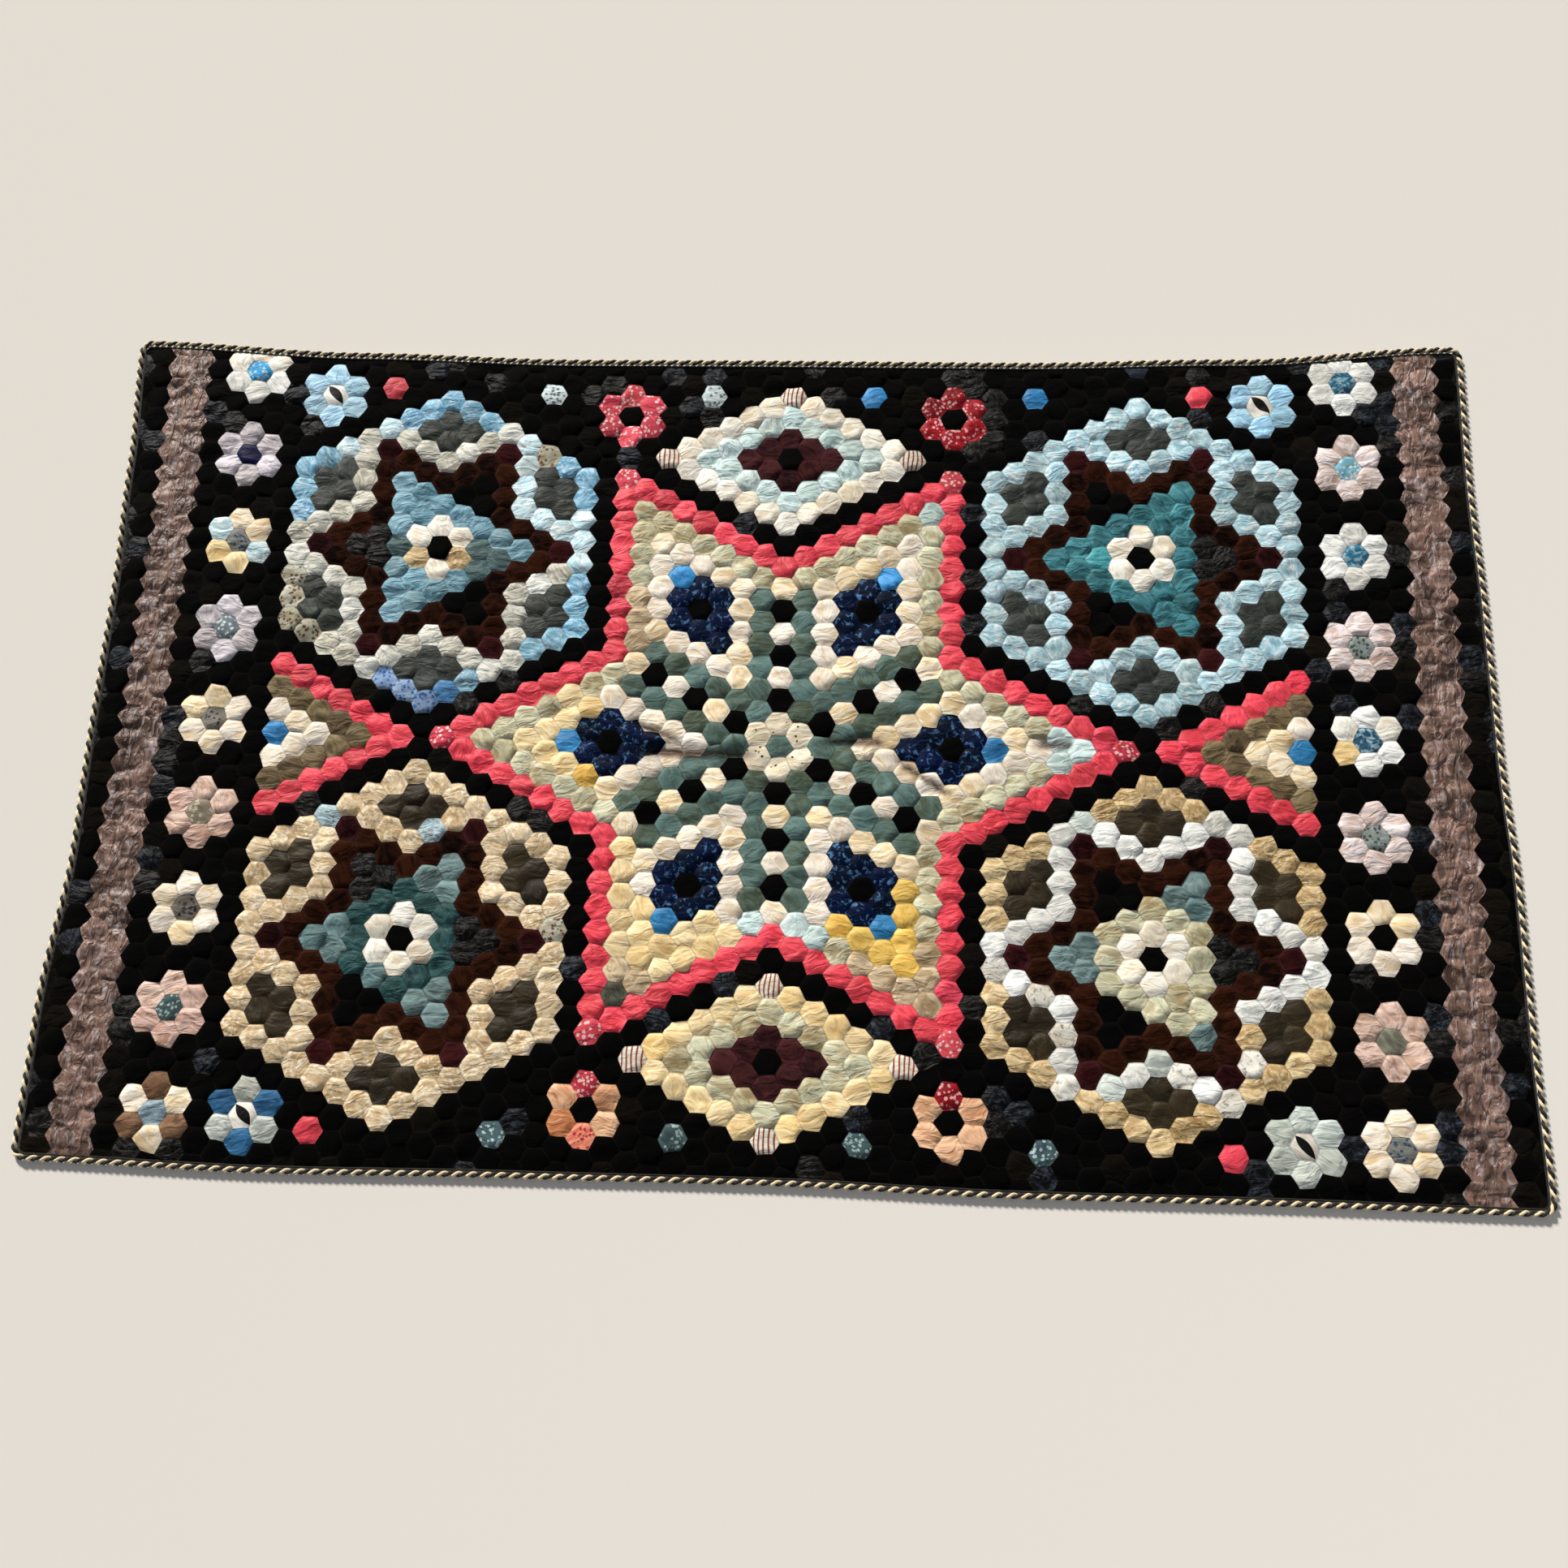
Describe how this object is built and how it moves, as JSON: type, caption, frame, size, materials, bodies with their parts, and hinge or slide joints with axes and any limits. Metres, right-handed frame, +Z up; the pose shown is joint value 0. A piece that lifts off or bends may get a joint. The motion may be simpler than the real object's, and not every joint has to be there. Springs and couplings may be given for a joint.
{
  "type": "hexagon patchwork quilt",
  "caption": "Quilt of pieced hexagon patches in a star and medallion layout, lying flat, with a two-colour twisted cord round its hem.",
  "frame": {"origin": "below the middle of the quilt's box, on the flat underside that lies on the floor", "axes": "+X along the quilt's long side, +Y towards its far hem, +Z up out of the pieced face"},
  "size_m": [1.5988, 1.0001, 0.0067],
  "materials": {
    "quilt_cloth": "pieced silk, velvet and cotton patches",
    "edging_cord": "two-ply twisted cotton cord, one strand black and one cream"
  },
  "bodies": {
    "root": {"quilt_cloth": "quilt_cloth", "edging_cord": "edging_cord"}
  },
  "joints": []
}
